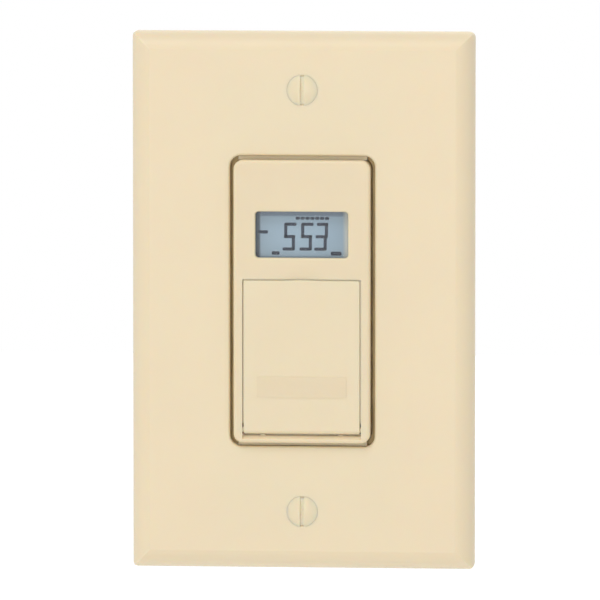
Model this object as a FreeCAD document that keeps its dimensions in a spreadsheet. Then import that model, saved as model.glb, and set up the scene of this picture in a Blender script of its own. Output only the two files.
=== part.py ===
import FreeCAD, Part
import math
import os
import re

import Sketcher
from FreeCAD import Vector

# A programmable wall switch timer in a single-gang wall plate, in millimetres.
# X is across the plate, Z is up and Y points into the wall. The origin is on the wall's face,
# midway between the two screws that hold the device in its box.
# A lift is a distance out from the wall's face towards the room, so a lift of 5 is Y = -5,
# and what lies inside the box has a negative lift.

SIZES = {
    # Wall plate
    "plate_width": 78.7,
    "plate_height": 123.5,
    "plate_lift": 5.8,
    "plate_rim": 1.7,
    "plate_corner": 1.4,
    "bevel_width": 4.2,
    "bevel_radius": 5.0,
    "plate_front_wall": 2.0,
    "plate_rim_wall": 1.6,
    "plate_draft": 18.0,
    "opening_width": 33.27,
    "opening_height": 66.8,
    "opening_corner": 2.5,
    "opening_round": 0.6,
    "collar_wall": 1.5,
    "plate_rib": 1.2,
    "plate_rib_overrun": 4.0,
    "plate_boss_radius": 3.2,
    "strap_gap": 0.2,
    # Wall plate screws
    "plate_screw_spacing": 96.84,
    "plate_screw_radius": 1.7,
    "plate_screw_length": 12.7,
    "plate_hole_radius": 1.9,
    "oval_head_radius": 3.55,
    "oval_head_rise": 0.8,
    "countersink_angle": 82.0,
    "head_gap": 0.05,
    "slot_width": 0.95,
    "slot_depth": 1.2,
    # Mounting strap and its screws
    "strap_length": 106.4,
    "strap_ear_width": 44.0,
    "strap_relief": 1.5,
    "strap_waist_length": 62.0,
    "strap_thickness": 1.3,
    "strap_corner": 2.5,
    "strap_fit": 0.12,
    "box_screw_spacing": 83.34,
    "box_screw_radius": 1.75,
    "box_screw_reach": 20.0,
    "box_slot_radius": 1.95,
    "box_slot_length": 7.4,
    "box_head_radius": 3.2,
    "box_head_height": 1.9,
    "box_neck_radius": 1.4,
    "box_neck_reach": 1.1,
    "tapped_radius": 1.75,
    "retainer_size": 8.6,
    "retainer_thickness": 0.8,
    "thread_gap": 0.03,
    "ground_inset_x": 7.0,
    "ground_inset_z": 6.7,
    "ground_rivet_radius": 1.6,
    "ground_head_radius": 2.7,
    "ground_head_height": 1.0,
    # Front bezel
    "face_gap": 0.95,
    "bezel_lift": 7.6,
    "bezel_corner": 2.1,
    "bezel_round": 0.7,
    "bezel_wall": 1.5,
    "bezel_front_wall": 1.8,
    "flange_width": 40.5,
    "flange_height": 67.5,
    "flange_thickness": 1.6,
    "partition_wall": 1.3,
    # Door, its opening and its hinge
    "door_opening_width": 27.3,
    "door_opening_top": 5.2,
    "door_opening_bottom": -30.8,
    "door_opening_corner": 0.5,
    "door_gap": 0.3,
    "door_thickness": 1.6,
    "door_edge_round": 0.25,
    "barrel_radius": 1.0,
    "barrel_gap": 0.4,
    "pin_radius": 0.6,
    "pin_reach": 1.1,
    "pin_clearance": 0.05,
    "pin_end_gap": 0.25,
    "cradle_offset": 8.9,
    "cradle_width": 1.0,
    "cradle_gap": 0.15,
    "cradle_root": 0.3,
    "sill_slope_depth": 1.2,
    "sill_slope_drop": 0.8,
    "scoop_radius": 6.6,
    "scoop_depth": 0.85,
    "scoop_drop": 3.2,
    "door_rib_offset": 12.3,
    "door_rib_width": 0.8,
    "door_rib_height": 0.5,
    "door_rib_inset": 3.0,
    "presser_radius": 4.0,
    "presser_height": 0.35,
    "nib_radius": 0.6,
    "nib_rise": 0.2,
    "nib_drop": 2.4,
    "label_width": 20.6,
    "label_height": 4.8,
    "label_z": -19.6,
    "label_rise": 0.15,
    "label_corner": 0.3,
    # Display
    "window_width": 21.3,
    "window_height": 10.6,
    "window_z": 15.4,
    "window_corner": 0.8,
    "window_round": 0.4,
    "window_recess": 1.3,
    "lens_lap": 1.3,
    "lens_thickness": 1.0,
    "lens_fit": 0.1,
    "glass_width": 27.0,
    "glass_height": 17.0,
    "glass_thickness": 2.1,
    "display_gap": 0.1,
    "holder_width": 28.0,
    "holder_height": 21.2,
    "strip_width": 24.0,
    "strip_height": 2.0,
    "strip_offset": 7.4,
    "backing_thickness": 0.4,
    "backing_height": 11.6,
    "holder_web": 1.0,
    # Keypad behind the door
    "deck_lift": 4.4,
    "deck_thickness": 1.2,
    "button_rise": 0.5,
    "button_gap": 0.15,
    "button_lip": 0.45,
    "button_lip_thickness": 0.7,
    "button_play": 0.075,
    "button_edge_round": 0.3,
    "small_corner": 0.8,
    "button_travel": 0.5,
    "on_off_width": 22.0,
    "on_off_height": 6.6,
    "on_off_z": -0.1,
    "row_width": 6.6,
    "row_height": 4.6,
    "row_pitch": 8.2,
    "row_z": -6.9,
    "reset_radius": 1.2,
    "reset_x": 12.0,
    "reset_z": -14.6,
    "switch_size": 6.0,
    "reset_switch_size": 3.6,
    "switch_height": 3.5,
    "plunger_radius": 1.7,
    "reset_plunger_radius": 0.9,
    "plunger_clearance": 0.08,
    "plunger_depth": 1.4,
    # Logic board
    "board_gap": 0.2,
    "board_thickness": 1.6,
    "board_width": 31.0,
    "board_top": 31.0,
    "board_bottom": -30.6,
    "board_boss_radius": 1.9,
    "board_boss_x": 12.5,
    "board_boss_top_z": 28.6,
    "board_boss_bottom_z": -28.3,
    "board_screw_radius": 0.9,
    "board_screw_head_radius": 1.7,
    "board_screw_head_height": 1.2,
    "board_screw_length": 5.0,
    "board_screw_end_gap": 0.12,
    "board_hole_gap": 0.12,
    # Battery and its tray
    "battery_radius": 7.8,
    "battery_length": 27.0,
    "battery_nub_radius": 3.2,
    "battery_nub_length": 0.8,
    "battery_z": -19.1,
    "battery_clearance": 0.15,
    "tray_front_width": 18.6,
    "tray_front_height": 17.0,
    "tray_gap": 0.2,
    "tray_wall": 0.6,
    "tray_end_wall": 1.2,
    "tray_notch_width": 6.0,
    "contact_thickness": 0.3,
    "contact_width": 6.0,
    "spring_room": 1.8,
    "spring_gap": 0.1,
    # Power board and what stands on it
    "power_board_depth": 14.0,
    "power_board_width": 36.6,
    "power_board_bottom": -9.4,
    "power_board_top": 26.4,
    "part_margin": 0.4,
    "relay_width": 19.0,
    "relay_height": 15.4,
    "relay_depth": 15.0,
    "relay_margin": 1.0,
    "dropper_width": 17.8,
    "dropper_height": 8.4,
    "dropper_depth": 14.2,
    "filter_radius": 4.0,
    "filter_length": 11.5,
    "filter_gap": 0.6,
    "varistor_radius": 5.0,
    "varistor_thickness": 3.6,
    "varistor_margin_x": 1.5,
    "varistor_margin_z": 1.0,
    "varistor_stand": 0.5,
    "varistor_leg_radius": 0.35,
    "varistor_leg_offset": 0.8,
    "rectifier_width": 8.4,
    "rectifier_height": 6.4,
    "rectifier_depth": 3.2,
    "rectifier_drop": 4.0,
    "resistor_radius": 1.7,
    "resistor_length": 9.5,
    "chip_size": 10.0,
    "chip_thickness": 1.6,
    "chip_lead_reach": 1.0,
    "chip_lead_thickness": 0.4,
    "crystal_radius": 1.5,
    "crystal_length": 8.0,
    "header_width": 15.24,
    "header_height": 2.54,
    "header_z": -0.1,
    "header_pin_pitch": 2.54,
    "header_pin_size": 0.64,
    "header_pin_stand": 1.4,
    "header_hole_radius": 0.62,
    # Rear housing and its screws
    "housing_width": 42.5,
    "housing_height": 68.5,
    "housing_depth": 33.0,
    "housing_wall": 1.6,
    "housing_corner": 2.6,
    "housing_round": 1.2,
    "post_x": 18.2,
    "post_z": 30.0,
    "post_radius": 2.6,
    "long_screw_radius": 1.1,
    "long_screw_clearance": 0.3,
    "long_head_radius": 2.0,
    "long_head_height": 1.5,
    "ledge_radius": 2.2,
    "ledge_x": 16.4,
    "ledge_z": 4.0,
    "lead_hole_radius": 1.9,
    "lead_hole_pitch": 11.0,
    "lead_hole_z": -26.0,
    "lead_collar_wall": 1.2,
    "lead_collar_rise": 1.2,
}

# Sizes that follow from the ones above
FOLLOWS = {
    "plate_inner_lift": "plate_lift - plate_front_wall",
    "collar_lift": "strap_thickness + strap_gap",
    "face_width": "opening_width - 2 * face_gap",
    "face_height": "opening_height - 2 * face_gap",
    "strap_window_width": "face_width + 2 * strap_fit",
    "strap_window_height": "face_height + 2 * strap_fit",
    "cavity_width": "face_width - 2 * bezel_wall",
    "cavity_top": "face_height / 2 - bezel_wall",
    "cavity_bottom": "door_opening_top + partition_wall",
    "inner_face_lift": "bezel_lift - bezel_front_wall",
    "deck_back_lift": "deck_lift - deck_thickness",
    "door_opening_height": "door_opening_top - door_opening_bottom",
    "door_opening_z": "(door_opening_top + door_opening_bottom) / 2",
    "door_width": "door_opening_width - 2 * door_gap",
    "door_top": "door_opening_top - door_gap",
    "hinge_lift": "bezel_lift - barrel_radius",
    "hinge_z": "door_opening_bottom + barrel_gap + barrel_radius",
    "door_back_lift": "bezel_lift - door_thickness",
    "lens_front_lift": "bezel_lift - window_recess",
    "glass_front_lift": "lens_front_lift - lens_thickness - display_gap",
    "glass_back_lift": "glass_front_lift - glass_thickness",
    "holder_front_lift": "glass_back_lift - display_gap",
    "button_front_lift": "deck_lift + button_rise",
    "lip_front_lift": "deck_back_lift - button_play",
    "lip_back_lift": "lip_front_lift - button_lip_thickness",
    "board_front_lift": "0 - flange_thickness - board_gap",
    "board_back_lift": "board_front_lift - board_thickness",
    "switch_front_lift": "board_front_lift + switch_height",
    "tray_front_z": "battery_z",
    "battery_front_lift": "deck_back_lift - contact_thickness",
    "battery_back_lift": "battery_front_lift - battery_length",
    "tray_inner_radius": "battery_radius + battery_clearance",
    "tray_outer_radius": "tray_inner_radius + tray_wall",
    "tray_end_lift": "battery_back_lift - spring_room",
    "power_front_lift": "0 - power_board_depth",
    "power_back_lift": "power_front_lift - board_thickness",
    "housing_back_lift": "0 - housing_depth",
    "housing_floor_lift": "housing_back_lift + housing_wall",
}

document = FreeCAD.newDocument("timer_light_switch")
sheet = document.addObject("Spreadsheet::Sheet", "Sizes")
for row, (alias, amount) in enumerate(SIZES.items(), 1):
    sheet.set(f"A{row}", alias)
    sheet.set(f"B{row}", str(amount))
    sheet.setAlias(f"B{row}", alias)
document.recompute()

WORD = re.compile(r"[a-z][a-z_]+")
# A pan-head screw's proportions: its point and its slot to the radii, and its shoulder and crown
POINT_SHARE = 0.4
SHOULDER_SHARE = 0.45
CROWN_SHARE = 0.65
SLOT_SHARE = 0.28

# How far a cut runs past what it cuts, and how near two edges may be and still be told apart
AWAY = "1"
NEAR = "0.1"

# Across the row of three keys
ROW_PLACES = ["0 - row_pitch", "0", "row_pitch"]
pieces = []


def linked(text):
    """The expression that text stands for, with every size read from the sheet."""

    def cell(found):
        word = found.group()
        if word in FOLLOWS:
            return "(" + linked(FOLLOWS[word]) + ")"
        return "Sizes." + word if word in SIZES else word

    return WORD.sub(cell, text)


def measure(text):
    return float(sheet.evalExpression(linked(text)))


def bind(thing, links):
    for name, text in links.items():
        thing.setExpression(name, linked(text))
    return thing


def keep(thing, node):
    """Names a finished sub-part."""
    thing.Label = node
    pieces.append(thing)
    return thing


# Sketches: their own origin is on the wall's face, and their places are bound to the sheet


def new_body(name):
    return document.addObject("PartDesign::Body", name)


def new_sketch(body, name, role, x="0", y="0", away="0"):
    """A sketch on an origin plane, moved by x and y in the plane and by away along its normal."""
    sketch = body.newObject("Sketcher::SketchObject", name)
    planes = [item for item in body.Origin.OriginFeatures if item.Role == role]
    sketch.AttachmentSupport = [(planes[0], "")]
    sketch.MapMode = "FlatFace"
    places = {"AttachmentOffset.Base.x": x, "AttachmentOffset.Base.y": y, "AttachmentOffset.Base.z": away}
    return bind(sketch, places)


def hold(sketch, kind, links, text):
    """Adds one dimension to the sketch and binds it."""
    index = sketch.addConstraint(Sketcher.Constraint(kind, *links, measure(text)))
    sketch.setExpression(f"Constraints[{index}]", linked(text))


def outline(sketch, corners):
    """A closed outline. A corner is (x, y), or (x, y, radius, turn) where the line that leaves it
    is an arc of that radius, turning left (1) or right (-1)."""
    spots = [Vector(measure(corner[0]), measure(corner[1]), 0) for corner in corners]
    first = sketch.GeometryCount
    ends = []
    for index, corner in enumerate(corners):
        here = spots[index]
        there = spots[(index + 1) % len(spots)]
        if len(corner) == 2:
            sketch.addGeometry(Part.LineSegment(here, there))
            ends.append((1, 2))
            continue
        radius = measure(corner[2])
        chord = there - here
        square = Vector(-chord.y, chord.x, 0).normalize()
        reach = math.sqrt(max(radius**2 - (chord.Length / 2) ** 2, 0))
        centre = (here + there) * 0.5 + square * reach * corner[3]
        angles = [math.atan2(spot.y - centre.y, spot.x - centre.x) for spot in (here, there)]
        if corner[3] < 0:
            angles.reverse()
        circle = Part.Circle(centre, Vector(0, 0, 1), radius)
        sketch.addGeometry(Part.ArcOfCircle(circle, *angles))
        ends.append((1, 2) if corner[3] > 0 else (2, 1))
    for index, corner in enumerate(corners):
        following = (index + 1) % len(corners)
        joined = (first + index, ends[index][1], first + following, ends[following][0])
        sketch.addConstraint(Sketcher.Constraint("Coincident", *joined))
        start = (-1, 1, first + index, ends[index][0])
        hold(sketch, "DistanceX", start, corner[0])
        hold(sketch, "DistanceY", start, corner[1])
        if len(corner) > 2:
            hold(sketch, "Radius", (first + index,), corner[2])


def rectangle(sketch, width, height, corner=None, x="0", y="0"):
    """A rectangle centred on x and y, with its corners rounded if a corner radius is given."""
    left, right = f"{x} - ({width}) / 2", f"{x} + ({width}) / 2"
    low, high = f"{y} - ({height}) / 2", f"{y} + ({height}) / 2"
    if corner is None:
        outline(sketch, [(left, low), (right, low), (right, high), (left, high)])
        return
    corner = f"({corner})"
    outline(
        sketch,
        [
            (f"{left} + {corner}", low),
            (f"{right} - {corner}", low, corner, 1),
            (right, f"{low} + {corner}"),
            (right, f"{high} - {corner}", corner, 1),
            (f"{right} - {corner}", high),
            (f"{left} + {corner}", high, corner, 1),
            (left, f"{high} - {corner}"),
            (left, f"{low} + {corner}", corner, 1),
        ],
    )


def obround(sketch, length, radius, x="0", y="0"):
    """A slot with full-round ends, its length along the sketch's X."""
    left, right = f"{x} - ({length}) / 2", f"{x} + ({length}) / 2"
    low, high = f"{y} - {radius}", f"{y} + {radius}"
    outline(
        sketch,
        [
            (f"{left} + {radius}", low),
            (f"{right} - {radius}", low, radius, 1),
            (right, y, radius, 1),
            (f"{right} - {radius}", high),
            (f"{left} + {radius}", high, radius, 1),
            (left, y, radius, 1),
        ],
    )


def disc(sketch, radius, x="0", y="0"):
    centre = Vector(measure(x), measure(y), 0)
    index = sketch.addGeometry(Part.Circle(centre, Vector(0, 0, 1), measure(radius)))
    hold(sketch, "Radius", (index,), radius)
    hold(sketch, "DistanceX", (-1, 1, index, 3), x)
    hold(sketch, "DistanceY", (-1, 1, index, 3), y)


# Features


def thicken(body, name, sketch, length, cut=False, both_ways=False):
    feature = body.newObject("PartDesign::Pocket" if cut else "PartDesign::Pad", name)
    feature.Profile = sketch
    if both_ways:
        feature.SideType = "Symmetric"
    bind(feature, {"Length": length})
    sketch.Visibility = False
    return feature


def front_feature(body, name, back, front, draw, cut=False):
    """Adds or cuts what draw outlines on the front plane, between two lifts."""
    sketch = new_sketch(body, name + "Outline", "XZ_Plane", away=front if cut else back)
    draw(sketch)
    return thicken(body, name, sketch, f"({front}) - ({back})", cut)


def slab(body, name, back, front, width, height, corner=None, x="0", z="0", cut=False):
    front_feature(body, name, back, front, lambda sketch: rectangle(sketch, width, height, corner, x, z), cut)


def peg(body, name, back, front, radius, spots, cut=False):
    """Round bars or holes at several places."""

    def draw(sketch):
        for x, z in spots:
            disc(sketch, radius, x, z)

    front_feature(body, name, back, front, draw, cut)


def side_feature(body, name, corners, width, x="0", cut=False):
    """Adds or cuts a side profile, carried across a width centred on x. A corner is (lift, z), or
    (lift, z, radius, turn) with the turn as seen with the wall on the left."""
    sketch = new_sketch(body, name + "Outline", "YZ_Plane", away=x)
    outline(sketch, [(f"0 - ({lift})", z, *reverse(arc)) for lift, z, *arc in corners])
    return thicken(body, name, sketch, width, cut, both_ways=True)


def reverse(arc):
    """The radius and turn of an arc seen from the other side, or nothing for a straight line."""
    return [arc[0], -arc[1]] if arc else []


def cross_bar(body, name, radius, width, lift, z, cut=False):
    """A round bar or hole along X, centred on the middle of the part."""
    sketch = new_sketch(body, name + "Outline", "YZ_Plane")
    disc(sketch, radius, f"0 - ({lift})", z)
    return thicken(body, name, sketch, width, cut, both_ways=True)


def turned(body, name, x, z, corners, cut=False):
    """Adds or cuts a solid of revolution about the Y line through x and z, from (radius, lift)
    corners."""
    sketch = new_sketch(body, name + "Outline", "XY_Plane", x=x, away=z)
    outline(sketch, [(radius, f"0 - ({lift})", *reverse(arc)) for radius, lift, *arc in corners])
    feature = body.newObject("PartDesign::Groove" if cut else "PartDesign::Revolution", name)
    feature.Profile = sketch
    feature.ReferenceAxis = (sketch, ["V_Axis"])
    feature.Angle = 360
    sketch.Visibility = False
    return feature


def ease(body, name, size, chosen, kind="Fillet"):
    """Rounds or chamfers the edges of the body that chosen picks by their bounding box."""
    document.recompute()
    base = body.Tip
    names = [f"Edge{index}" for index, edge in enumerate(base.Shape.Edges, 1) if chosen(edge.BoundBox)]
    feature = body.newObject("PartDesign::" + kind, name)
    feature.Base = (base, names)
    return bind(feature, {"Radius" if kind == "Fillet" else "Size": size})


def at_lift(box, text):
    """True for an edge that lies flat at one lift."""
    lift = measure(text)
    return abs(box.YMin + lift) < 1e-4 and abs(box.YMax + lift) < 1e-4


def beyond(box, x=None, z=None):
    """True for an edge whose centre is further out than x or z."""
    far_x = x is not None and abs(box.Center.x) > measure(x)
    far_z = z is not None and abs(box.Center.z) > measure(z)
    return far_x or far_z


# Primitives


def brick(name, width, height, back, front, x="0", z="0"):
    """A plain block between two lifts, centred on x and z."""
    block = document.addObject("Part::Box", name)
    sizes = {"Length": width, "Width": f"({front}) - ({back})", "Height": height}
    place = {
        "Placement.Base.x": f"{x} - ({width}) / 2",
        "Placement.Base.y": f"0 - ({front})",
        "Placement.Base.z": f"{z} - ({height}) / 2",
    }
    return bind(block, {**sizes, **place})


def rod(name, radius, back, front, x="0", z="0"):
    """A plain round bar between two lifts."""
    bar = document.addObject("Part::Cylinder", name)
    bar.Placement.Rotation = FreeCAD.Rotation(Vector(1, 0, 0), 90)
    place = {"Placement.Base.x": x, "Placement.Base.y": f"0 - ({back})", "Placement.Base.z": z}
    return bind(bar, {"Radius": radius, "Height": f"({front}) - ({back})", **place})


def upright(name, radius, length, lift, x, z):
    """A plain round bar that stands along Z, centred on z."""
    bar = document.addObject("Part::Cylinder", name)
    place = {
        "Placement.Base.x": x,
        "Placement.Base.y": f"0 - ({lift})",
        "Placement.Base.z": f"{z} - ({length}) / 2",
    }
    return bind(bar, {"Radius": radius, "Height": length, **place})


def fuse(name, shapes):
    whole = document.addObject("Part::MultiFuse", name)
    whole.Shapes = shapes
    return whole


def cut_from(name, base, tool):
    rest = document.addObject("Part::Cut", name)
    rest.Base = base
    rest.Tool = tool
    return rest


def group(name, shapes):
    """Separate solids that share one sub-part."""
    together = document.addObject("Part::Compound", name)
    together.Links = shapes
    return together


def mirror(name, source, normal):
    image = document.addObject("Part::Mirroring", name)
    image.Source = source
    image.Normal = normal
    return image


def pair(name, source, normal=Vector(0, 0, 1)):
    """A piece and its image across the middle of the part."""
    return group(name, [source, mirror(name + "Image", source, normal)])


def screw(name, x, z, lifts, radii, head_height, faces="+", neck=()):
    """A slotted pan-head screw along Y, from the lifts under its head and at its tip and the radii
    of its head and shank. It faces the room (+) or is driven from behind (-). A neck is a list of
    (radius, lift) corners between the shank and the head."""
    under_head, tip = lifts
    head_radius, shank_radius = radii
    top = f"{under_head} {faces} {head_height}"
    point = f"{POINT_SHARE} * {shank_radius}"
    body = new_body(name)
    corners = [
        ("0", tip),
        (f"{shank_radius} - {point}", tip),
        (shank_radius, f"{tip} {faces} {point}"),
        *neck,
        (neck[-1][0] if neck else shank_radius, under_head),
        (head_radius, under_head),
        (head_radius, f"{under_head} {faces} {SHOULDER_SHARE} * {head_height}"),
        (f"{CROWN_SHARE} * {head_radius}", top),
        ("0", top),
    ]
    turned(body, name + "Turned", x, z, corners)
    past = f"{top} {faces} {AWAY}"
    bottom = f"{under_head} {faces} {SHOULDER_SHARE} * {head_height}"
    lifts = (bottom, past) if faces == "+" else (past, bottom)
    slot = (f"{SLOT_SHARE} * {head_radius}", f"3 * {head_radius}", None, x, z)
    slab(body, name + "Slot", *lifts, *slot, cut=True)
    return body


# Wall plate


def make_wall_plate():
    """The moulded cover plate: a straight rim, a curved bevel all round, a hollow back with a
    collar round the opening, and countersunk screw holes in two bosses."""
    body = new_body("WallPlate")
    side, top = "plate_width / 2", "plate_height / 2"

    section = new_sketch(body, "Section", "XY_Plane")
    outline(
        section,
        [
            (f"0 - {side}", "0"),
            (side, "0"),
            (side, "0 - plate_rim", "bevel_radius", -1),
            (f"{side} - bevel_width", "0 - plate_lift"),
            (f"bevel_width - {side}", "0 - plate_lift", "bevel_radius", -1),
            (f"0 - {side}", "0 - plate_rim"),
        ],
    )
    thicken(body, "Blank", section, "plate_height", both_ways=True)

    for name, sign, turn in (("TopBevel", "", -1), ("BottomBevel", "0 - ", 1)):
        edge = [
            ("plate_rim", f"{sign}({top})", "bevel_radius", turn),
            ("plate_lift", f"{sign}({top} - bevel_width)"),
            (f"plate_lift + {AWAY}", f"{sign}({top} - bevel_width)"),
            (f"plate_lift + {AWAY}", f"{sign}({top} + {AWAY})"),
            ("plate_rim", f"{sign}({top} + {AWAY})"),
        ]
        side_feature(body, name, edge, f"plate_width + {AWAY}", cut=True)

    def around(sketch):
        rectangle(sketch, "plate_width", "plate_height", "plate_corner")
        rectangle(sketch, f"plate_width + {AWAY}", f"plate_height + {AWAY}")

    front_feature(body, "Corners", "0", "plate_lift", around, cut=True)

    hollow = new_sketch(body, "HollowOutline", "XZ_Plane")
    rectangle(hollow, "plate_width - 2 * plate_rim_wall", "plate_height - 2 * plate_rim_wall", "plate_corner")
    pocket = thicken(body, "Hollow", hollow, "plate_inner_lift", cut=True)
    pocket.Reversed = True
    bind(pocket, {"TaperAngle": "0 - plate_draft"})

    collar = ("opening_width + 2 * collar_wall", "opening_height + 2 * collar_wall")
    slab(body, "Collar", "collar_lift", "plate_inner_lift", *collar, "opening_corner + collar_wall")
    holes = [("0", "plate_screw_spacing / 2"), ("0", "0 - plate_screw_spacing / 2")]
    peg(body, "Bosses", "collar_lift", "plate_inner_lift", "plate_boss_radius", holes)
    rib_length = "plate_screw_spacing + 2 * (plate_boss_radius + plate_rib_overrun)"
    rib_lift = "(collar_lift + plate_inner_lift) / 2"
    for name, x in (("LeftRib", "0 - plate_width / 4"), ("RightRib", "plate_width / 4")):
        slab(body, name, rib_lift, "plate_inner_lift", "plate_rib", rib_length, None, x)
    for name, z in (("TopRib", "plate_screw_spacing / 2"), ("BottomRib", "0 - plate_screw_spacing / 2")):
        slab(body, name, rib_lift, "plate_inner_lift", "plate_width / 2", "plate_rib", None, "0", z)

    through = (f"0 - {AWAY}", f"plate_lift + {AWAY}")
    slab(body, "Opening", *through, "opening_width", "opening_height", "opening_corner", cut=True)

    drill = new_sketch(body, "ScrewHoleCentres", "XZ_Plane", away="plate_lift")
    for x, z in holes:
        disc(drill, "plate_hole_radius", x, z)
    document.recompute()
    hole = body.newObject("PartDesign::Hole", "ScrewHoles")
    hole.Profile = drill
    document.recompute()
    hole.ThreadType = "None"
    hole.DepthType = "ThroughAll"
    hole.HoleCutType = "Countersink"
    hole.HoleCutCustomValues = True
    drill.Visibility = False
    bind(
        hole,
        {
            "Diameter": "2 * plate_hole_radius",
            "HoleCutDiameter": "2 * (oval_head_radius + head_gap)",
            "HoleCutCountersinkAngle": "countersink_angle",
        },
    )

    def opening_edge(box):
        outside = beyond(box, f"opening_width / 2 + {NEAR}", f"opening_height / 2 + {NEAR}")
        return at_lift(box, "plate_lift") and not outside

    ease(body, "OpeningRound", "opening_round", opening_edge)
    return keep(body, "wall_plate")


def make_plate_screws():
    """Oval-head slotted machine screws, painted to match the plate."""
    body = new_body("PlateScrew")
    z = "plate_screw_spacing / 2"
    cone = "(oval_head_radius - plate_screw_radius) / tan(countersink_angle / 2 * 1deg)"
    top = "plate_lift + oval_head_rise"
    crown = "(oval_head_radius * oval_head_radius / oval_head_rise + oval_head_rise) / 2"
    tip = "plate_lift - plate_screw_length"
    point = f"{POINT_SHARE} * plate_screw_radius"
    turned(
        body,
        "Turned",
        "0",
        z,
        [
            ("0", tip),
            (f"plate_screw_radius - {point}", tip),
            ("plate_screw_radius", f"{tip} + {point}"),
            ("plate_screw_radius", f"plate_lift - {cone}"),
            ("oval_head_radius", "plate_lift", crown, 1),
            ("0", top),
        ],
    )
    slot = ("slot_width", "3 * oval_head_radius", None, "0", z)
    slab(body, "Slot", f"{top} - slot_depth", f"{top} + {AWAY}", *slot, cut=True)
    return keep(pair("PlateScrews", body), "plate_screws")


# Mounting strap and what is fastened to it


def make_mounting_strap():
    """The pressed steel yoke: wide ears, a narrower waist, the window that the bezel stands in,
    slots for the box screws, and tapped holes for the plate's and the housing's screws."""
    body = new_body("MountingStrap")
    lifts = ("0", "strap_thickness")
    slab(body, "Blank", *lifts, "strap_ear_width", "strap_length", "strap_corner")
    for name, sign in (("LeftWaist", "0 -"), ("RightWaist", "0 +")):
        waist = (f"2 * strap_relief + {AWAY}", "strap_waist_length", "strap_relief")
        slab(body, name, *lifts, *waist, f"{sign} (strap_ear_width / 2 + {AWAY} / 2)", cut=True)
    window = ("strap_window_width", "strap_window_height", "bezel_corner + strap_fit")
    slab(body, "Window", *lifts, *window, cut=True)

    def box_slots(sketch):
        for sign in ("0 +", "0 -"):
            obround(sketch, "box_slot_length", "box_slot_radius", "0", f"{sign} box_screw_spacing / 2")

    front_feature(body, "BoxSlots", *lifts, box_slots, cut=True)
    taps = [("0", "plate_screw_spacing / 2"), ("0", "0 - plate_screw_spacing / 2")]
    peg(body, "PlateTaps", *lifts, "tapped_radius", taps, cut=True)
    corners = corner_spots("post_x", "post_z")
    peg(body, "HousingTaps", *lifts, "long_screw_radius + thread_gap", corners, cut=True)
    peg(body, "GroundHole", *lifts, "ground_rivet_radius + thread_gap", [GROUND_SPOT], cut=True)
    return keep(body, "mounting_strap")


GROUND_SPOT = ("ground_inset_x - strap_ear_width / 2", "ground_inset_z - strap_length / 2")


def corner_spots(x, z):
    return [(f"{across} {x}", f"{up} {z}") for across in ("0 -", "0 +") for up in ("0 -", "0 +")]


def make_mounting_screws():
    """The two screws that draw the strap onto the wall box. A thinner neck behind the head lets
    the retainers hold them."""
    place = ("0", "box_screw_spacing / 2", ("strap_thickness", "0 - box_screw_reach"))
    neck = [("box_screw_radius", "0 - box_neck_reach"), ("box_neck_radius", "0 - box_neck_reach")]
    radii = ("box_head_radius", "box_screw_radius")
    body = screw("MountingScrew", *place, radii, "box_head_height", neck=neck)
    return keep(pair("MountingScrews", body), "mounting_screws")


def make_screw_retainers():
    """Fibre washers that keep the mounting screws in the strap before it is fitted."""
    z = "box_screw_spacing / 2"
    size = "retainer_size"
    washer = brick("RetainerBlank", size, size, "0 - retainer_thickness", "0", "0", z)
    back = f"0 - retainer_thickness - {AWAY}"
    hole = rod("RetainerHole", "box_neck_radius + thread_gap", back, AWAY, "0", z)
    return keep(pair("Retainers", cut_from("Retainer", washer, hole)), "screw_retainers")


def make_ground_rivet():
    """The rivet that clinches the ground lead's eye to the strap."""
    body = new_body("GroundRivet")
    turned(
        body,
        "Turned",
        *GROUND_SPOT,
        [
            ("0", "0 - ground_head_height"),
            ("ground_head_radius", "0 - ground_head_height"),
            ("ground_head_radius", "0"),
            ("ground_rivet_radius", "0"),
            ("ground_rivet_radius", "strap_thickness"),
            ("ground_head_radius", "strap_thickness"),
            ("0.7 * ground_head_radius", "strap_thickness + ground_head_height"),
            ("0", "strap_thickness + ground_head_height"),
        ],
    )
    return keep(body, "ground_rivet")


# Front bezel


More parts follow.
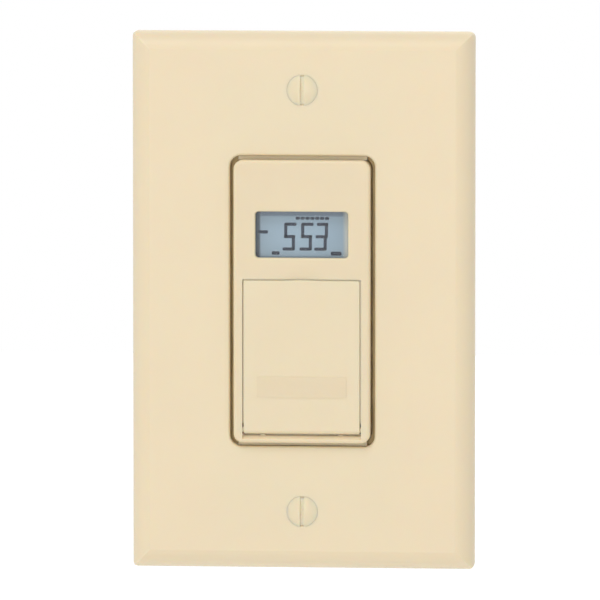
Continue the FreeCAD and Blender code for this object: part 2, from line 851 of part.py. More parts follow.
def make_front_bezel():
    """The one moulding that shows inside the plate's opening. It has a flange behind the strap,
    the display's window, the door's well with the keypad deck at its bottom, the cradles and
    bearing holes of the hinge, a thumb scoop above the door, and screw bosses behind."""
    body = new_body("FrontBezel")
    slab(body, "Flange", "0 - flange_thickness", "0", "flange_width", "flange_height", "bezel_corner")
    slab(body, "Block", "0", "bezel_lift", "face_width", "face_height", "bezel_corner")

    behind = f"0 - flange_thickness - {AWAY}"
    display_height, display_z = "(cavity_top - cavity_bottom)", "(cavity_top + cavity_bottom) / 2"
    inner = "bezel_corner - bezel_wall"
    slab(body, "KeypadCavity", behind, "deck_back_lift", "cavity_width", "2 * cavity_top", inner, cut=True)
    display = ("cavity_width", display_height, inner, "0", display_z)
    slab(body, "DisplayCavity", "0", "inner_face_lift", *display, cut=True)

    before = f"bezel_lift + {AWAY}"
    well = ("door_opening_width", "door_opening_height", "door_opening_corner", "0", "door_opening_z")
    slab(body, "DoorWell", "deck_lift", before, *well, cut=True)
    slope = [
        ("bezel_lift - sill_slope_depth", "door_opening_bottom"),
        (f"bezel_lift + {AWAY}", f"door_opening_bottom - sill_slope_drop * (1 + {AWAY} / sill_slope_depth)"),
        (f"bezel_lift + {AWAY}", f"door_opening_bottom + {AWAY}"),
        ("bezel_lift - sill_slope_depth", f"door_opening_bottom + {AWAY}"),
    ]
    side_feature(body, "SillSlope", slope, "door_opening_width", cut=True)

    reach = "(barrel_radius + cradle_gap)"
    nose = "0.1 * barrel_radius"
    under = f"hinge_z - sqrt({reach} * {reach} - {nose} * {nose})"
    cradle = [
        ("deck_lift", "door_opening_bottom - cradle_root"),
        (f"hinge_lift - {nose}", "door_opening_bottom - cradle_root"),
        (f"hinge_lift - {nose}", under, reach, -1),
        (f"hinge_lift - {reach}", "hinge_z"),
        ("deck_lift", "hinge_z"),
    ]
    for name, sign in (("LeftCradle", "0 -"), ("RightCradle", "0 +")):
        side_feature(body, name, cradle, "cradle_width", f"{sign} cradle_offset")
    bearing = "door_width + 2 * (pin_reach + pin_end_gap)"
    cross_bar(body, "Bearings", "pin_radius + pin_clearance", bearing, "hinge_lift", "hinge_z", cut=True)

    window = ("window_width", "window_height", "window_corner", "0", "window_z")
    slab(body, "Window", "0", before, *window, cut=True)
    seat = ("window_width + 2 * lens_lap", "window_height + 2 * lens_lap", "window_corner", "0", "window_z")
    slab(body, "LensSeat", "0", "lens_front_lift", *seat, cut=True)

    through_deck = (f"deck_back_lift - {AWAY}", f"deck_lift + {AWAY}")
    caps = [("OnOffHole", "on_off_width", "on_off_height", "0", "on_off_z")]
    caps += [(f"RowHole{index}", "row_width", "row_height", x, "row_z") for index, x in enumerate(ROW_PLACES)]
    for name, width, height, x, z in caps:
        hole = (f"{width} + 2 * button_gap", f"{height} + 2 * button_gap", "small_corner", x, z)
        slab(body, name, *through_deck, *hole, cut=True)
    peg(body, "ResetHole", *through_deck, "reset_radius + button_gap", [("reset_x", "reset_z")], cut=True)
    bay = ("tray_front_width + 2 * tray_gap", "tray_front_height + 2 * tray_gap", "small_corner")
    slab(body, "BatteryBay", *through_deck, *bay, "0", "tray_front_z", cut=True)

    tops = [(f"{sign} board_boss_x", "board_boss_top_z") for sign in ("0 -", "0 +")]
    peg(body, "TopBosses", "board_front_lift", "inner_face_lift", "board_boss_radius", tops)
    feet = [(f"{sign} board_boss_x", "board_boss_bottom_z") for sign in ("0 -", "0 +")]
    peg(body, "BottomBosses", "board_front_lift", "deck_back_lift", "board_boss_radius", feet)
    pilot_end = "board_front_lift + board_screw_length"
    pilot = (f"board_front_lift - {AWAY}", pilot_end, "board_screw_radius + thread_gap", tops + feet)
    peg(body, "BoardPilots", *pilot, cut=True)
    clear = "long_screw_radius + long_screw_clearance"
    peg(body, "FlangeHoles", behind, "0", clear, corner_spots("post_x", "post_z"), cut=True)

    arc = "((scoop_radius * scoop_radius + scoop_depth * scoop_depth) / (4 * scoop_depth))"
    dish = [
        ("0", "bezel_lift - scoop_depth", arc, 1),
        ("scoop_radius / 2", "bezel_lift - scoop_depth / 2", arc, -1),
        ("scoop_radius", "bezel_lift"),
        ("scoop_radius", before),
        ("0", before),
    ]
    turned(body, "ThumbScoop", "0", "door_opening_top - scoop_drop", dish, cut=True)

    def rim_edge(box):
        near_side = f"(face_width - bezel_corner) / 2 - {NEAR}"
        return at_lift(box, "bezel_lift") and beyond(box, near_side, f"face_height / 2 - {NEAR}")

    ease(body, "FaceRound", "bezel_round", rim_edge)

    def window_edge(box):
        above = box.ZMin > measure(f"window_z - window_height / 2 - {NEAR}")
        below = box.ZMax < measure(f"window_z + window_height / 2 + {NEAR}")
        return above and below and at_lift(box, "bezel_lift")

    ease(body, "WindowRound", "window_round", window_edge)
    return keep(body, "front_bezel")


# Door


def make_door():
    """The flip-down cover: a flat leaf with a full-round hinge barrel along its lower edge, a stub
    pin at each end, stiffening ribs, a presser for the button behind it and a bare label pad."""
    body = new_body("Door")
    leaf_height, leaf_z = "(door_top - hinge_z)", "(door_top + hinge_z) / 2"
    slab(body, "Leaf", "door_back_lift", "bezel_lift", "door_width", leaf_height, None, "0", leaf_z)
    cross_bar(body, "Barrel", "barrel_radius", "door_width", "hinge_lift", "hinge_z")

    def top_corner(box):
        return box.ZMin > measure("door_top") - 1e-3 and box.XLength < 1e-3 and box.YLength > 1

    ease(body, "TopCorners", "door_opening_corner", top_corner)

    def front_edge(box):
        return at_lift(box, "bezel_lift") and box.ZMax > measure("hinge_z + 1")

    ease(body, "EdgeRound", "door_edge_round", front_edge)
    cross_bar(body, "Pins", "pin_radius", "door_width + 2 * pin_reach", "hinge_lift", "hinge_z")
    rib_height = f"{leaf_height} - 2 * door_rib_inset"
    for name, sign in (("LeftRib", "0 -"), ("RightRib", "0 +")):
        rib = ("door_rib_width", rib_height, None, f"{sign} door_rib_offset", leaf_z)
        slab(body, name, "door_back_lift - door_rib_height", "door_back_lift", *rib)
    presser = ("door_back_lift - presser_height", "door_back_lift", "presser_radius", [("0", "on_off_z")])
    peg(body, "Presser", *presser)
    label = ("label_width", "label_height", "label_corner", "0", "label_z")
    slab(body, "LabelPad", "bezel_lift", "bezel_lift + label_rise", *label)
    for name, sign in (("LeftNib", "0 -"), ("RightNib", "0 +")):
        nib = [(f"{sign} (door_width / 2 + nib_rise - nib_radius)", "door_top - nib_drop")]
        peg(body, name, "door_back_lift", "door_back_lift + door_thickness / 2", "nib_radius", nib)
    return keep(body, "door")


# Keypad


def make_button(node, width, height, x, z):
    """A push button: a cap through the deck with a lip behind it."""
    body = new_body(node.title().replace("_", ""))
    slab(body, "Cap", "lip_front_lift", "button_front_lift", width, height, "small_corner", x, z)
    lip = (f"{width} + 2 * button_lip", f"{height} + 2 * button_lip", "small_corner", x, z)
    slab(body, "Lip", "lip_back_lift", "lip_front_lift", *lip)
    ease(body, "CapRound", "button_edge_round", lambda box: at_lift(box, "button_front_lift"))
    return keep(body, node)


def make_reset_button():
    body = new_body("ResetButton")
    spot = [("reset_x", "reset_z")]
    peg(body, "Cap", "lip_front_lift", "button_front_lift", "reset_radius", spot)
    peg(body, "Lip", "lip_back_lift", "lip_front_lift", "reset_radius + button_lip", spot)
    ease(body, "CapRound", "button_edge_round", lambda box: at_lift(box, "button_front_lift"))
    return keep(body, "reset_button")


def switch_places():
    """Where each push switch stands: its name, place, size and plunger radius."""
    places = [("on_off", "0", "on_off_z", "switch_size", "plunger_radius")]
    for name, x in zip(("mode", "minus", "plus"), ROW_PLACES):
        places.append((name, x, "row_z", "switch_size", "plunger_radius"))
    places.append(("reset", "reset_x", "reset_z", "reset_switch_size", "reset_plunger_radius"))
    return places


def make_keypad():
    make_button("on_off_button", "on_off_width", "on_off_height", "0", "on_off_z")
    for node, x in zip(("mode_button", "minus_button", "plus_button"), ROW_PLACES):
        make_button(node, "row_width", "row_height", x, "row_z")
    make_reset_button()


def make_switches():
    """The push switches on the logic board, and the plunger of each, which its button rests on."""
    cases = []
    for name, x, z, size, radius in switch_places():
        case = brick(name.title() + "Case", size, size, "board_front_lift", "switch_front_lift", x, z)
        well_floor = "switch_front_lift - plunger_depth"
        bore = f"{radius} + plunger_clearance"
        well = rod(name.title() + "Well", bore, well_floor, f"switch_front_lift + {AWAY}", x, z)
        cases.append(cut_from(name.title() + "Switch", case, well))
        bottom = f"{well_floor} + button_travel + plunger_clearance"
        plunger = rod(name.title() + "Plunger", radius, bottom, "lip_back_lift", x, z)
        keep(plunger, name + "_plunger")
    return keep(group("PushSwitches", cases), "push_switches")


# Display


def make_display():
    """The window's lens, the display glass behind it, its backing sheet, the holder that presses
    it forward, and the two rubber strips that connect it to the board."""
    lens = new_body("DisplayLens")
    lap = "2 * (lens_lap - lens_fit)"
    pane = (f"window_width + {lap}", f"window_height + {lap}", "window_corner", "0", "window_z")
    slab(lens, "Pane", "lens_front_lift - lens_thickness", "lens_front_lift", *pane)
    keep(lens, "display_lens")

    glass = ("glass_width", "glass_height", "glass_back_lift", "glass_front_lift", "0", "window_z")
    keep(brick("DisplayGlass", *glass), "display_glass")

    holder = new_body("DisplayHolder")
    frame = ("holder_width", "holder_height", "small_corner", "0", "window_z")
    slab(holder, "Frame", "board_front_lift", "holder_front_lift", *frame)
    slot = ("strip_width + 2 * lens_fit", "strip_height + 2 * lens_fit", None, "0")
    for name, sign in (("UpperSlot", "+"), ("LowerSlot", "-")):
        z = f"window_z {sign} strip_offset"
        slab(holder, name, f"board_front_lift - {AWAY}", f"holder_front_lift + {AWAY}", *slot, z, cut=True)
    seat = ("strip_width", "backing_height + 2 * lens_fit", None, "0", "window_z")
    seat_lift = "holder_front_lift - backing_thickness"
    slab(holder, "BackingSeat", seat_lift, f"holder_front_lift + {AWAY}", *seat, cut=True)
    hollow = ("strip_width", "backing_height", None, "0", "window_z")
    slab(holder, "Lightening", f"board_front_lift - {AWAY}", f"{seat_lift} - holder_web", *hollow, cut=True)
    keep(holder, "display_holder")

    sheet_size = ("strip_width - 2 * lens_fit", "backing_height")
    backing = brick("DisplayBacking", *sheet_size, seat_lift, "holder_front_lift", "0", "window_z")
    keep(backing, "display_backing")

    strips = []
    for name, sign in (("UpperStrip", "+"), ("LowerStrip", "-")):
        z = f"window_z {sign} strip_offset"
        strip = ("strip_width", "strip_height", "board_front_lift", "glass_back_lift", "0", z)
        strips.append(brick(name, *strip))
    keep(group("ContactStrips", strips), "contact_strips")


# Boards


def make_logic_board():
    """The circuit board behind the bezel, notched round the battery."""
    body = new_body("LogicBoard")
    height, z = "(board_top - board_bottom)", "(board_top + board_bottom) / 2"
    lifts = ("board_back_lift", "board_front_lift")
    slab(body, "Blank", *lifts, "board_width", height, "small_corner", "0", z)
    notch_top = "(battery_z + tray_outer_radius + 2 * tray_gap)"
    notch_width = "tray_front_width + 6 * tray_gap"
    notch = (notch_width, f"2 * ({notch_top} - board_bottom)", "small_corner", "0", "board_bottom")
    slab(body, "BatteryNotch", *lifts, *notch, cut=True)
    holes = [(f"{sign} board_boss_x", "board_boss_top_z") for sign in ("0 -", "0 +")]
    holes += [(f"{sign} board_boss_x", "board_boss_bottom_z") for sign in ("0 -", "0 +")]
    peg(body, "ScrewHoles", *lifts, "board_screw_radius + board_hole_gap", holes, cut=True)
    peg(body, "PinHoles", *lifts, "header_hole_radius", header_spots(), cut=True)
    keep(body, "logic_board")

    ends = ("board_back_lift", "board_front_lift + board_screw_length - board_screw_end_gap")
    radii = ("board_screw_head_radius", "board_screw_radius")
    screws = []
    for index, spot in enumerate(holes):
        screws.append(screw(f"BoardScrew{index}", *spot, ends, radii, "board_screw_head_height", faces="-"))
    keep(group("BoardScrews", screws), "board_screws")


def make_logic_parts():
    """What is soldered to the back of the logic board."""
    chip_x, chip_z = "0 - chip_size / 2", "window_z"
    foot = "board_back_lift"
    body = brick("ChipBody", "chip_size", "chip_size", f"{foot} - chip_thickness", foot, chip_x, chip_z)
    spread = "chip_size + 2 * chip_lead_reach"
    leads = brick("ChipLeads", spread, spread, f"{foot} - chip_lead_thickness", foot, chip_x, chip_z)
    keep(fuse("Microcontroller", [body, leads]), "microcontroller")

    crystal = ("crystal_radius", "crystal_length", f"{foot} - crystal_radius", "chip_size / 2", chip_z)
    keep(upright("TimingCrystal", *crystal), "timing_crystal")

    reach = ("power_front_lift", "board_back_lift")
    strip = brick("HeaderStrip", "header_width", "header_height", *reach, "0", "header_z")
    pins = []
    for index, (x, z) in enumerate(header_spots()):
        ends = ("power_back_lift - header_pin_stand", "board_front_lift")
        pins.append(brick(f"HeaderPin{index}", "header_pin_size", "header_pin_size", *ends, x, z))
    keep(fuse("BoardHeader", [strip, *pins]), "board_header")


def header_spots():
    """Where the pins between the two boards stand."""
    count = round(measure("header_width / header_pin_pitch"))
    return [(f"({index} - ({count} - 1) / 2) * header_pin_pitch", "header_z") for index in range(count)]


def make_power_board():
    """The mains board that the relay and the supply's parts stand on."""
    body = new_body("PowerBoard")
    height, z = "(power_board_top - power_board_bottom)", "(power_board_top + power_board_bottom) / 2"
    lifts = ("power_back_lift", "power_front_lift")
    slab(body, "Blank", *lifts, "power_board_width", height, "small_corner", "0", z)
    spots = [(f"{sign} ledge_x", "ledge_z") for sign in ("0 -", "0 +")]
    peg(body, "ScrewHoles", *lifts, "board_screw_radius + board_hole_gap", spots, cut=True)
    peg(body, "PinHoles", *lifts, "header_hole_radius", header_spots(), cut=True)
    keep(body, "power_board")

    ends = ("power_front_lift", "power_front_lift - board_screw_length")
    radii = ("board_screw_head_radius", "board_screw_radius")
    screws = []
    for index, spot in enumerate(spots):
        screws.append(screw(f"PowerScrew{index}", *spot, ends, radii, "board_screw_head_height"))
    keep(group("PowerScrews", screws), "power_board_screws")


def make_power_parts():
    """The relay, the supply's capacitors, its surge arrester, rectifier and fusible resistor."""
    foot, front = "power_back_lift", "power_front_lift"
    side, low = "power_board_width / 2", "power_board_bottom"

    relay = new_body("Relay")
    relay_x = f"relay_margin + relay_width / 2 - {side}"
    relay_z = "power_board_top - relay_height / 2 - relay_margin"
    relay_case = ("relay_width", "relay_height", "small_corner", relay_x, relay_z)
    slab(relay, "Case", f"{foot} - relay_depth", foot, *relay_case)
    keep(relay, "relay")

    dropper = new_body("Dropper")
    dropper_x = f"{side} - dropper_width / 2 - part_margin"
    dropper_z = f"{low} + dropper_height / 2 + part_margin"
    dropper_case = ("dropper_width", "dropper_height", "small_corner", dropper_x, dropper_z)
    slab(dropper, "Case", f"{foot} - dropper_depth", foot, *dropper_case)
    keep(dropper, "dropper_capacitor")

    cans = []
    for index in range(2):
        x = f"part_margin + filter_radius + {index} * (2 * filter_radius + filter_gap) - {side}"
        place = (f"{foot} - filter_length", foot, x, f"{low} + filter_radius + part_margin")
        cans.append(rod(f"FilterCan{index}", "filter_radius", *place))
    keep(group("FilterCapacitors", cans), "filter_capacitors")

    disc_x = f"{side} - varistor_thickness - varistor_margin_x"
    disc_z = "power_board_top - varistor_radius - varistor_margin_z"
    varistor = document.addObject("Part::Cylinder", "SurgeArrester")
    varistor.Placement.Rotation = FreeCAD.Rotation(Vector(0, 1, 0), 90)
    place = {
        "Placement.Base.x": disc_x,
        "Placement.Base.y": f"0 - ({foot}) + varistor_radius + varistor_stand",
        "Placement.Base.z": disc_z,
    }
    bind(varistor, {"Radius": "varistor_radius", "Height": "varistor_thickness", **place})
    legs = []
    for index, sign in enumerate(("+", "-")):
        leg_x = f"{disc_x} + varistor_thickness / 2 {sign} varistor_leg_offset"
        leg_place = (f"{foot} - varistor_radius", foot, leg_x, f"{disc_z} {sign} varistor_radius / 2")
        legs.append(rod(f"ArresterLeg{index}", "varistor_leg_radius", *leg_place))
    keep(fuse("Varistor", [varistor, *legs]), "surge_varistor")

    row_z = "power_board_top - rectifier_height / 2 - rectifier_drop"
    rectifier = ("rectifier_width", "rectifier_height", front, f"{front} + rectifier_depth", f"{side} / 2")
    keep(brick("Rectifier", *rectifier, row_z), "bridge_rectifier")
    resistor = ("resistor_radius", "resistor_length", f"{front} + resistor_radius", f"0 - {side} / 2")
    keep(upright("Resistor", *resistor, row_z), "fusible_resistor")


# Battery


def make_battery():
    """The lithium cell that keeps the time, lying in a pull-out tray that faces the door."""
    step = "battery_front_lift - battery_nub_length"
    cell = rod("Cell", "battery_radius", "battery_back_lift", step, "0", "battery_z")
    nub = rod("CellNub", "battery_nub_radius", step, "battery_front_lift", "0", "battery_z")
    keep(fuse("Battery", [cell, nub]), "battery")

    tray = new_body("BatteryTray")
    front = ("tray_front_width", "tray_front_height", "small_corner", "0", "tray_front_z")
    slab(tray, "Front", "deck_back_lift", "deck_lift", *front)
    inner, outer = "tray_inner_radius", "tray_outer_radius"

    def trough(sketch):
        outline(
            sketch,
            [
                (f"0 - {outer}", "battery_z", outer, 1),
                ("0", f"battery_z - {outer}", outer, 1),
                (outer, "battery_z"),
                (inner, "battery_z", inner, -1),
                ("0", f"battery_z - {inner}", inner, -1),
                (f"0 - {inner}", "battery_z"),
            ],
        )

    front_feature(tray, "Trough", "tray_end_lift - tray_end_wall", "deck_back_lift", trough)
    peg(tray, "EndWall", "tray_end_lift - tray_end_wall", "tray_end_lift", outer, [("0", "battery_z")])
    notch_z = "tray_front_z + tray_front_height / 2"
    notch = ("tray_notch_width", "tray_notch_width / 2", None, "0", notch_z)
    slab(tray, "FingerNotch", "deck_lift - deck_thickness / 2", f"deck_lift + {AWAY}", *notch, cut=True)
    keep(tray, "battery_tray")

    plate_height = "2 * battery_nub_radius"
    plate_lifts = ("battery_front_lift", "deck_back_lift")
    plate = brick("FrontContact", "contact_width", plate_height, *plate_lifts, "0", "battery_z")
    keep(plate, "battery_front_contact")

    spring = new_body("BatterySpring")
    half, thick = "contact_width / 2", "contact_thickness"
    leaf = [
        ("tray_end_lift", f"battery_z - {half}"),
        ("battery_back_lift - spring_gap", "battery_z"),
        ("tray_end_lift", f"battery_z + {half}"),
        ("tray_end_lift", f"battery_z + {half} - 2 * {thick}"),
        (f"battery_back_lift - spring_gap - {thick}", "battery_z"),
        ("tray_end_lift", f"battery_z - {half} + 2 * {thick}"),
    ]
    side_feature(spring, "Leaf", leaf, "contact_width")
    keep(spring, "battery_spring")


# Rear housing


def make_rear_housing():
    """The deep moulded box behind the strap, with screw posts in its corners, ledges that carry
    the mains board, and three collared holes where the leads come out."""
    body = new_body("RearHousing")
    seat = "0 - flange_thickness"
    slab(body, "Box", "housing_back_lift", seat, "housing_width", "housing_height", "housing_corner")
    ease(body, "BackRound", "housing_round", lambda box: at_lift(box, "housing_back_lift"))
    inside = ("housing_width - 2 * housing_wall", "housing_height - 2 * housing_wall")
    inner_corner = "housing_corner - housing_wall"
    slab(body, "Hollow", "housing_floor_lift", f"{seat} + {AWAY}", *inside, inner_corner, cut=True)
    posts = corner_spots("post_x", "post_z")
    peg(body, "Posts", "housing_floor_lift", seat, "post_radius", posts)
    ledges = [(f"{sign} ledge_x", "ledge_z") for sign in ("0 -", "0 +")]
    peg(body, "Ledges", "housing_floor_lift", "power_back_lift", "ledge_radius", ledges)
    for name, sign in (("LeftLedgeRib", "0 -"), ("RightLedgeRib", "0 +")):
        reach = "housing_width / 2 - housing_wall / 2 - ledge_x"
        rib = (reach, "ledge_radius", None, f"{sign} (ledge_x + ({reach}) / 2)", "ledge_z")
        slab(body, name, "housing_floor_lift", "power_back_lift", *rib)
    pilot = ("power_front_lift - board_screw_length - thread_gap", f"power_back_lift + {AWAY}")
    peg(body, "LedgePilots", *pilot, "board_screw_radius + thread_gap", ledges, cut=True)
    bore = "long_screw_radius + long_screw_clearance"
    peg(body, "PostBores", f"housing_back_lift - {AWAY}", f"{seat} + {AWAY}", bore, posts, cut=True)
    sink = (f"housing_back_lift - {AWAY}", "housing_back_lift + long_head_height")
    peg(body, "HeadRecesses", *sink, "long_head_radius + long_screw_clearance", posts, cut=True)
    outlets = lead_outlets()
    collar = "lead_hole_radius + lead_collar_wall"
    peg(body, "LeadCollars", "housing_floor_lift", "housing_floor_lift + lead_collar_rise", collar, outlets)
    lead_through = (f"housing_back_lift - {AWAY}", f"housing_floor_lift + lead_collar_rise + {AWAY}")
    peg(body, "LeadHoles", *lead_through, "lead_hole_radius", outlets, cut=True)
    return keep(body, "rear_housing")


def lead_outlets():
    return [(f"({step}) * lead_hole_pitch", "lead_hole_z") for step in ("0 - 1", "0", "1")]


def make_housing_screws():
    """The four long screws that clamp the housing and the bezel's flange to the strap."""
    ends = ("housing_back_lift + long_head_height", "strap_thickness")
    radii = ("long_head_radius", "long_screw_radius")
    screws = []
    for index, spot in enumerate(corner_spots("post_x", "post_z")):
        screws.append(screw(f"HousingScrew{index}", *spot, ends, radii, "long_head_height", faces="-"))
    return keep(group("HousingScrews", screws), "housing_screws")


# The whole timer

make_wall_plate()
make_plate_screws()
make_mounting_strap()
make_mounting_screws()
make_screw_retainers()
make_ground_rivet()
make_front_bezel()
make_door()
make_keypad()
make_switches()
make_display()
make_logic_board()
make_logic_parts()
make_power_board()
make_power_parts()
make_battery()
make_rear_housing()
make_housing_screws()
document.recompute()

for item in document.Objects:
    if "Invalid" in item.State or "Error" in item.State:
        raise RuntimeError(f"{item.Label} did not build: {item.State}")
for piece in pieces:
    if piece.Shape.isNull() or not piece.Shape.isValid():
        raise RuntimeError(f"{piece.Label} has no valid shape")

os.makedirs("parts", exist_ok=True)
for piece in pieces:
    piece.Shape.exportStep(os.path.join("parts", piece.Label + ".step"))
    print(piece.Label, len(piece.Shape.Solids), round(piece.Shape.Volume, 2))
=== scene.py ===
import math

import bmesh
import bpy
from mathutils import Matrix, Vector


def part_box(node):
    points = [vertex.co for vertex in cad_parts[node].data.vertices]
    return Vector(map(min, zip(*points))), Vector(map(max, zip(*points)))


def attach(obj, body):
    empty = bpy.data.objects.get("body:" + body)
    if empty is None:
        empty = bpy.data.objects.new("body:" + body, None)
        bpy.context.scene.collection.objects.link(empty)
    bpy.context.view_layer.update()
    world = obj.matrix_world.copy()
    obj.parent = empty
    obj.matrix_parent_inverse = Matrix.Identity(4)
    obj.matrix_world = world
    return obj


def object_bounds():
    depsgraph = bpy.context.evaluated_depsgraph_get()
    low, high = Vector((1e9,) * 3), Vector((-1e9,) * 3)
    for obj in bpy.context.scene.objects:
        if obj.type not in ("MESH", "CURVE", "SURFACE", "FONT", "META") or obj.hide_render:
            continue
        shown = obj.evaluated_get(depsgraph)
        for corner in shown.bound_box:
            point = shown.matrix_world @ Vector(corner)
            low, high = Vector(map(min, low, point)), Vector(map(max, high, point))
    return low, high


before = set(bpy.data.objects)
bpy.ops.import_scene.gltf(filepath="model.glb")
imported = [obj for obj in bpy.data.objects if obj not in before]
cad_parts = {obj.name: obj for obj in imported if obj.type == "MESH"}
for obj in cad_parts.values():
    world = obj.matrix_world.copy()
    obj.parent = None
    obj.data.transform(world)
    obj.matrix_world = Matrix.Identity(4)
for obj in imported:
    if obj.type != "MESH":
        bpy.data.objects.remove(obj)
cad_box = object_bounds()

# The studio
# The timer hangs a little above a pale floor, as it would hang on a wall. The floor is matt white
# card, and shows as white to the camera while it still takes the timer's shadow.

MM = 0.001
FLOOR_DROP = 70 * MM
FLOOR_SIZE = 2.6
FLOOR_GLOW = 0.22
TOP_LEVEL = 255
SCREEN_GAMMA = 2.2


def srgb(red, green, blue):
    """A colour as a screen shows it, from 0 to 255, as the shader's own."""
    return (*(math.pow(level / TOP_LEVEL, SCREEN_GAMMA) for level in (red, green, blue)), 1.0)


class Socket:
    """A shader output that takes part in sums and comparisons as a number does."""

    def __init__(self, wiring, output):
        self.wiring = wiring
        self.output = output

    def maths(self, operation, *values):
        return self.wiring.node("ShaderNodeMath", {"operation": operation}, values, "Value")

    def __add__(self, other):
        return self.maths("ADD", self, other)

    def __sub__(self, other):
        return self.maths("SUBTRACT", self, other)

    def __rsub__(self, other):
        return self.maths("SUBTRACT", other, self)

    def __mul__(self, other):
        return self.maths("MULTIPLY", self, other)

    def __lt__(self, other):
        return self.maths("LESS_THAN", self, other)

    def __gt__(self, other):
        return self.maths("GREATER_THAN", self, other)

    def __abs__(self):
        return self.maths("ABSOLUTE", self)

    __radd__ = __add__
    __rmul__ = __mul__


class Wiring:
    """A node tree, with one call that adds any node and joins it up."""

    def __init__(self, tree):
        self.tree = tree

    def node(self, kind, settings=None, sockets=(), output=0):
        made = self.tree.nodes.new(kind)
        for name, setting in (settings or {}).items():
            if name != "stops":
                setattr(made, name, setting)
                continue
            ramp = made.color_ramp.elements
            while len(ramp) < len(setting):
                ramp.new(1.0)
            for stop, (place, colour) in zip(ramp, setting):
                stop.position = place
                stop.color = colour
        named = sockets.items() if isinstance(sockets, dict) else enumerate(sockets)
        for key, value in named:
            if isinstance(value, Socket):
                self.tree.links.new(value.output, made.inputs[key])
            else:
                made.inputs[key].default_value = value
        return Socket(self, made.outputs[output])

    def seen(self):
        """1 where the camera looks straight at a surface, in a mirror or through glass."""
        camera = self.node("ShaderNodeLightPath", output="Is Camera Ray")
        glossy = self.node("ShaderNodeLightPath", output="Is Glossy Ray")
        through = self.node("ShaderNodeLightPath", output="Is Transmission Ray")
        return camera.maths("MAXIMUM", camera.maths("MAXIMUM", camera, glossy), through)


# Which sockets of a colour mix hold its share, its two colours and its result.
MIX_SHARE = 0
MIX_FIRST = 6
MIX_SECOND = 7
MIX_RESULT = 2


class Finish(Wiring):
    """A material with one Principled shader, whose constants are named by its own sockets."""

    def __init__(self, name, colour=None, **constants):
        self.material = bpy.data.materials.new(name)
        self.material.use_nodes = True
        super().__init__(self.material.node_tree)
        self.shader = self.tree.nodes["Principled BSDF"]
        if colour:
            self.shader.inputs["Base Color"].default_value = colour
        for socket, amount in constants.items():
            self.shader.inputs[socket.replace("_", " ")].default_value = amount

    def feed(self, socket, value):
        self.tree.links.new(value.output, self.shader.inputs[socket])

    def place(self):
        """Where a point is on the timer, in millimetres."""
        coordinates = self.node("ShaderNodeTexCoord", output="Object")
        sockets = {"Vector": coordinates, "Scale": 1 / MM}
        return self.node("ShaderNodeVectorMath", {"operation": "SCALE"}, sockets)

    def axis(self, letter):
        return self.node("ShaderNodeSeparateXYZ", {}, [self.place()], letter)

    def fade(self, letter, start, end):
        """0 up to start and 1 from end, in millimetres along an axis."""
        sockets = {"Value": self.axis(letter), "From Min": start, "From Max": end}
        return self.node("ShaderNodeMapRange", {}, sockets)

    def noise(self, scale, detail=3.0, stretch=(1.0, 1.0, 1.0)):
        """Cloudy variation from 0 to 1, with about scale patches to the millimetre."""
        place = self.place()
        stretched = self.node("ShaderNodeVectorMath", {"operation": "MULTIPLY"}, [place, stretch])
        sockets = {"Vector": stretched, "Scale": scale, "Detail": detail}
        return self.node("ShaderNodeTexNoise", {}, sockets, "Fac")

    def mix(self, amount, first, second):
        """The first colour where amount is 0 and the second where it is 1."""
        sockets = {MIX_SHARE: amount, MIX_FIRST: first, MIX_SECOND: second}
        return self.node("ShaderNodeMix", {"data_type": "RGBA"}, sockets, MIX_RESULT)

    def bump(self, height, depth):
        """Relief of a depth in millimetres."""
        sockets = {"Height": height, "Distance": depth * MM}
        self.feed("Normal", self.node("ShaderNodeBump", {}, sockets))


card = Finish("white_card", srgb(250, 250, 250), Roughness=0.9, Specular_IOR_Level=0.1)
card.shader.inputs["Emission Strength"].default_value = FLOOR_GLOW
card.feed("Emission Color", card.mix(card.seen(), (0, 0, 0, 1), (1, 1, 1, 1)))
bpy.ops.mesh.primitive_plane_add(size=FLOOR_SIZE, location=(0, 0, cad_box[0][2] - FLOOR_DROP))
floor = bpy.context.object
floor.name = "floor"
floor.data.materials.append(card.material)

# The light
# A white tent gives most of it, and a large soft lamp above and to the left of the camera gives
# the highlights and the soft shadows. Two more lamps light the front and the back.

TENT_LIGHT = 0.6
world = bpy.data.worlds.new("tent")
world.use_nodes = True
bpy.context.scene.world = world
tent = Wiring(world.node_tree)
background = world.node_tree.nodes["Background"]
background.inputs["Color"].default_value = (1, 1, 1, 1)
tent_strength = tent.seen() * (1 - TENT_LIGHT) + TENT_LIGHT
world.node_tree.links.new(tent_strength.output, background.inputs["Strength"])


def soft_lamp(name, place, size, power):
    """A round lamp in metres and watts that faces the timer."""
    lamp = bpy.data.lights.new(name, "AREA")
    lamp.shape = "DISK"
    lamp.size = size
    lamp.energy = power
    stand = bpy.data.objects.new(name, lamp)
    bpy.context.collection.objects.link(stand)
    stand.location = place
    stand.rotation_euler = (-Vector(place)).to_track_quat("-Z", "Y").to_euler()


soft_lamp("key_lamp", (-0.6, -1.4, 2.1), 0.9, 17)
soft_lamp("front_lamp", (0.0, -2.6, 0.1), 1.2, 11)
soft_lamp("back_lamp", (0.5, 2.4, 1.8), 1.4, 16)

# The camera
# It stands two metres off, a little to the right of the timer and a little above it, and sees the
# timer through a long lens.

AZIMUTH = math.radians(4.93)
ELEVATION = math.radians(4.86)
DISTANCE = 2.019
TARGET = Vector((-1.0 * MM, 0, -0.17 * MM))
FOCAL_PIXELS = 8790.7
PICTURE_PIXELS = 600
SENSOR = 36.0

